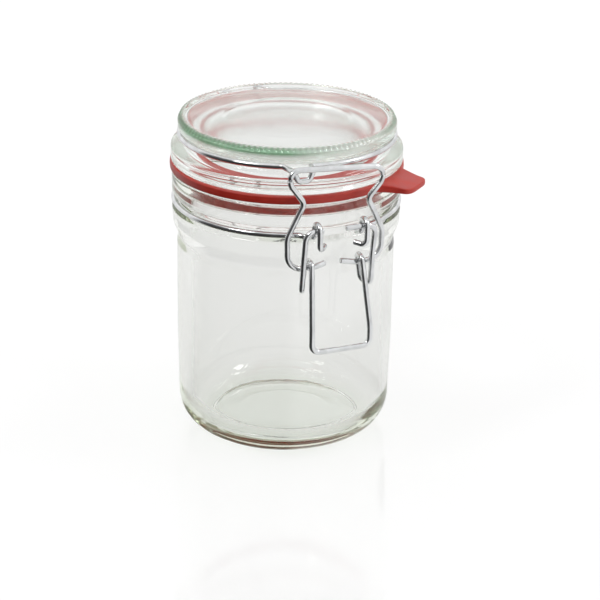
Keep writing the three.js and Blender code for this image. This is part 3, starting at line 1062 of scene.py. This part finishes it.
@dataclass(frozen=True)
class Bail(BentWire):
    """The waisted wire over the lid. It leans, so its bar slopes a little."""

    piece: Piece = Piece("bail_bright", "bail", Body.BAIL, Slot.WIRE, BRIGHT_WIRE)
    stub_rise: float = 1.2
    stub_ends: Pair = (-3.6, 2.4)
    bar: Pair = (47.0, 117.8)
    half: float = 17.7
    tilt: float = 1.1

    def side(self, stub_end: float) -> Floats:
        """One side's corners, from the stub's end up to the bar."""
        front, level = LAYOUT.bail_pivot
        return np.array([
            (stub_end, front, level + self.stub_rise, 0),
            (8.0, front, level, 2.5),
            (18.2, front, level, 6.0),  # the belly
            (18.5, 46.6, 93.0, 7.0),
            (12.3, 47.2, 105.6, 2.6),  # the waist
            (18.0, 47.3, 112.8, 4.5),  # the shoulder
            (self.half, *self.bar, 3.6),
        ])

    def corners(self) -> Floats:
        """Both sides. Each height drops by the tilt, in proportion to x and to the height over the stubs."""
        left = mirrored(self.side(-self.stub_ends[0]))[::-1]
        corners = np.concatenate([left, self.side(self.stub_ends[1])[::-1]])
        level = LAYOUT.bail_pivot[1]
        share = np.maximum(0.0, (corners[:, 2] - level - self.stub_rise) / (self.bar[1] - level))
        corners[:, 2] -= self.tilt * share * corners[:, 0] / self.half
        return corners


@dataclass(frozen=True)
class Lever(BentWire):
    """The handle wire: stubs in the neck's eyes, arms, curls over the bail's stubs, and the loop to pull."""

    piece: Piece = Piece("lever_bright", "lever", Body.LEVER, Slot.WIRE, BRIGHT_WIRE)
    stub_ends: Pair = (-6.8, 1.8)
    arm_x: float = 13.4
    arm_turn_z: float = 72.8
    handle_top_x: float = 9.8
    handle_bottom: Triple = (11.4, 54.4, 50.9)

    def side(self, stub_end: float) -> Floats:
        """One side's corners, from the stub's end down to the handle's foot."""
        front, level = LAYOUT.bail_pivot
        bend = LAYOUT.pivot_bend
        top = level + bend
        x, far, low = self.handle_bottom
        return np.array([
            (stub_end, *LAYOUT.lever_pivot, 0),
            (self.arm_x, *LAYOUT.lever_pivot, 3.4),
            (self.arm_x, 50.0, 84.0, 12.0),  # down the arm
            (self.arm_x + 0.1, 49.0, self.arm_turn_z, 2.2),
            (self.arm_x - 1.8, front - bend + 0.2, self.arm_turn_z, 2.2),
            (self.handle_top_x + 0.2, front - bend, top, bend - 0.1),  # over the bail's stub
            (self.handle_top_x, front + bend, top, bend - 0.2),
            (x, far, low + 7, 20.0),  # down the handle
            (x, far, low, 3.0),
        ])

    def corners(self) -> Floats:
        """Both sides, from one stub's end round to the other's."""
        left = mirrored(self.side(-self.stub_ends[0]))[::-1]
        return np.concatenate([left, self.side(self.stub_ends[1])[::-1]])


# Studio


@dataclass(frozen=True)
class FloorFinish(Finish):
    """Pale gloss board with a little light of its own, so that shadows on it are faint."""

    turn: float = 0.0
    colour: Triple = (0.5, 0.5, 0.5)
    glow: float = 0.4
    roughness: float = 0.1
    ior: float = 2.0
    through_glass: float = 0.82
    mirror_shades: Pair = (0.04, 0.85)

    def dress(self, hand: Nodes, shader: Node, out: Node) -> None:
        """White to the eye and greyer through glass. A mirror shows it dark in the studio's dark sector."""
        shader.inputs["Base Color"].default_value = (*self.colour, 1.0)
        shader.inputs["Roughness"].default_value = self.roughness
        shader.inputs["Emission Color"].default_value = (1.0, 1.0, 1.0, 1.0)
        shader.inputs["Emission Strength"].default_value = self.glow
        shader.inputs["IOR"].default_value = self.ior
        through, in_mirror = (hand.add("ShaderNodeBsdfDiffuse") for _ in range(2))
        through.inputs["Color"].default_value = (*[self.through_glass] * 3, 1.0)
        place = hand.add("ShaderNodeTexCoord").outputs["Object"]
        lit = hand.spread(lit_sides(hand, place, self.turn), *self.mirror_shades, span=(0.0, 1.0))
        hand.join(lit, in_mirror.inputs["Color"])
        unseen = hand.choose("Is Reflection Ray", through.outputs["BSDF"], in_mirror.outputs["BSDF"])
        hand.join(hand.choose("Is Camera Ray", unseen, shader.outputs["BSDF"]), out.inputs["Surface"])


@dataclass(frozen=True)
class Softbox:
    """A square lamp that looks at the jar."""

    name: str
    azimuth: float
    elevation: float
    distance: float
    size: float
    power: float

    def build(self, aim: Vector) -> None:
        """Makes the lamp.

        Args:
            aim: What it looks at, in metres.
        """
        lamp = bpy.data.lights.new(self.name, "AREA")
        lamp.shape = "SQUARE"
        lamp.size = self.size
        lamp.energy = self.power
        holder = bpy.data.objects.new(self.name, lamp)
        a, e = math.radians(self.azimuth), math.radians(self.elevation)
        back = Vector((math.sin(a) * math.cos(e), -math.cos(a) * math.cos(e), math.sin(e)))
        holder.location = aim + back * self.distance
        holder.rotation_mode = "QUATERNION"
        holder.rotation_quaternion = back.to_track_quat("Z", "Y")
        bpy.context.scene.collection.objects.link(holder)


def swung(first: Vector, second: Vector, angle: float) -> tuple[Vector, Vector]:
    """Two vectors at right angles, turned in their plane from the first towards the second."""
    c, s = math.cos(angle), math.sin(angle)
    return first * c + second * s, second * c - first * s


@dataclass(frozen=True)
class Studio:
    """The floor, the soft light and the camera."""

    floor_half: float = 6.0
    floor_drop: float = 0.05
    pivot: Triple = (0.0, 0.0, 0.063)
    azimuth: float = math.radians(-22.3)
    elevation: float = math.radians(21.71)
    yaw: float = math.radians(0.40)
    pitch: float = math.radians(-0.89)
    roll: float = math.radians(0.88)
    distance: float = 0.840
    focal_px: float = 2196.0
    frame_px: float = 600.0
    sensor: float = 36.0
    nearest: float = 0.01
    dark: float = 0.1
    dark_through_glass: float = 0.9
    bounces: int = 32
    softboxes: tuple[Softbox, ...] = (
        Softbox("left_light", -75.0, 48.0, 1.2, 0.3, 3.0),
        Softbox("right_light", 60.0, 40.0, 1.3, 0.25, 2.0),
    )

    def floor(self) -> None:
        """The pale floor that the jar stands on."""
        half, low = self.floor_half / MM, -self.floor_drop
        points = np.array([(-half, -half, low), (half, -half, low), (half, half, low), (-half, half, low)])
        surface = Surface(points, np.array([[0, 1, 2, 3]]), NO_TRIANGLES)
        surface.make("floor", FloorFinish("pale floor", turn=self.azimuth))

    def world(self) -> None:
        """A white room with a dark sector at the camera's left, for the wires' dark lines."""
        world = bpy.data.worlds.new("studio")
        bpy.context.scene.world = world
        world.use_nodes = True
        world.node_tree.nodes.clear()
        hand = Nodes(world.node_tree)
        out = hand.add("ShaderNodeOutputWorld")
        light = hand.add("ShaderNodeBackground")
        place = hand.add("ShaderNodeTexCoord").outputs["Generated"]
        dim = hand.add("ShaderNodeMath", operation="MULTIPLY_ADD")
        hand.join(hand.add("ShaderNodeLightPath").outputs["Is Transmission Ray"], dim.inputs[0])
        dim.inputs[1].default_value = self.dark_through_glass - self.dark
        dim.inputs[2].default_value = self.dark
        lit = lit_sides(hand, place, self.azimuth)
        hand.join(hand.math("MAXIMUM", lit, dim.outputs[0]), light.inputs["Strength"])
        light.inputs["Color"].default_value = (1.0, 1.0, 1.0, 1.0)
        hand.join(light.outputs["Background"], out.inputs["Surface"])

    def camera(self) -> None:
        """The photograph's camera: turned round the pivot, then by a small yaw, pitch and roll."""
        e = self.elevation
        right = Vector((1.0, 0.0, 0.0))
        ahead = Vector((0.0, math.cos(e), -math.sin(e)))
        up = Vector((0.0, math.sin(e), math.cos(e)))
        place = Vector(self.pivot) - ahead * self.distance
        right, ahead = swung(right, ahead, -self.yaw)
        ahead, up = swung(ahead, up, self.pitch)
        right, up = swung(right, up, self.roll)
        stand = Matrix.Translation(place) @ Matrix((right, up, -ahead)).transposed().to_4x4()
        lens = bpy.data.cameras.new("camera")
        lens.sensor_width = self.sensor
        lens.lens = lens.sensor_width * self.focal_px / self.frame_px
        lens.clip_start = self.nearest
        camera = bpy.data.objects.new("camera", lens)
        camera.matrix_world = Matrix.Rotation(self.azimuth, 4, "Z") @ stand
        bpy.context.scene.collection.objects.link(camera)
        bpy.context.scene.camera = camera

    def build(self) -> None:
        """Everything round the jar."""
        self.floor()
        self.world()
        for softbox in self.softboxes:
            softbox.build(Vector(self.pivot))
        self.camera()
        bpy.context.scene.view_settings.view_transform = "Standard"
        paths = bpy.context.scene.cycles
        paths.max_bounces = paths.glossy_bounces = paths.transmission_bounces = self.bounces
        LOG.info("studio: floor, light and camera")


def main() -> None:
    """Builds the pieces in order."""
    logging.basicConfig(level=logging.INFO, format="%(name)s: %(message)s")
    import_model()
    Studio().build()
    for maker in (GlassBody(), GlassLid(), SealingRing(), NeckWire(), LidWire(), Bail(), Lever()):
        maker.build()


if __name__ == "__main__":
    main()
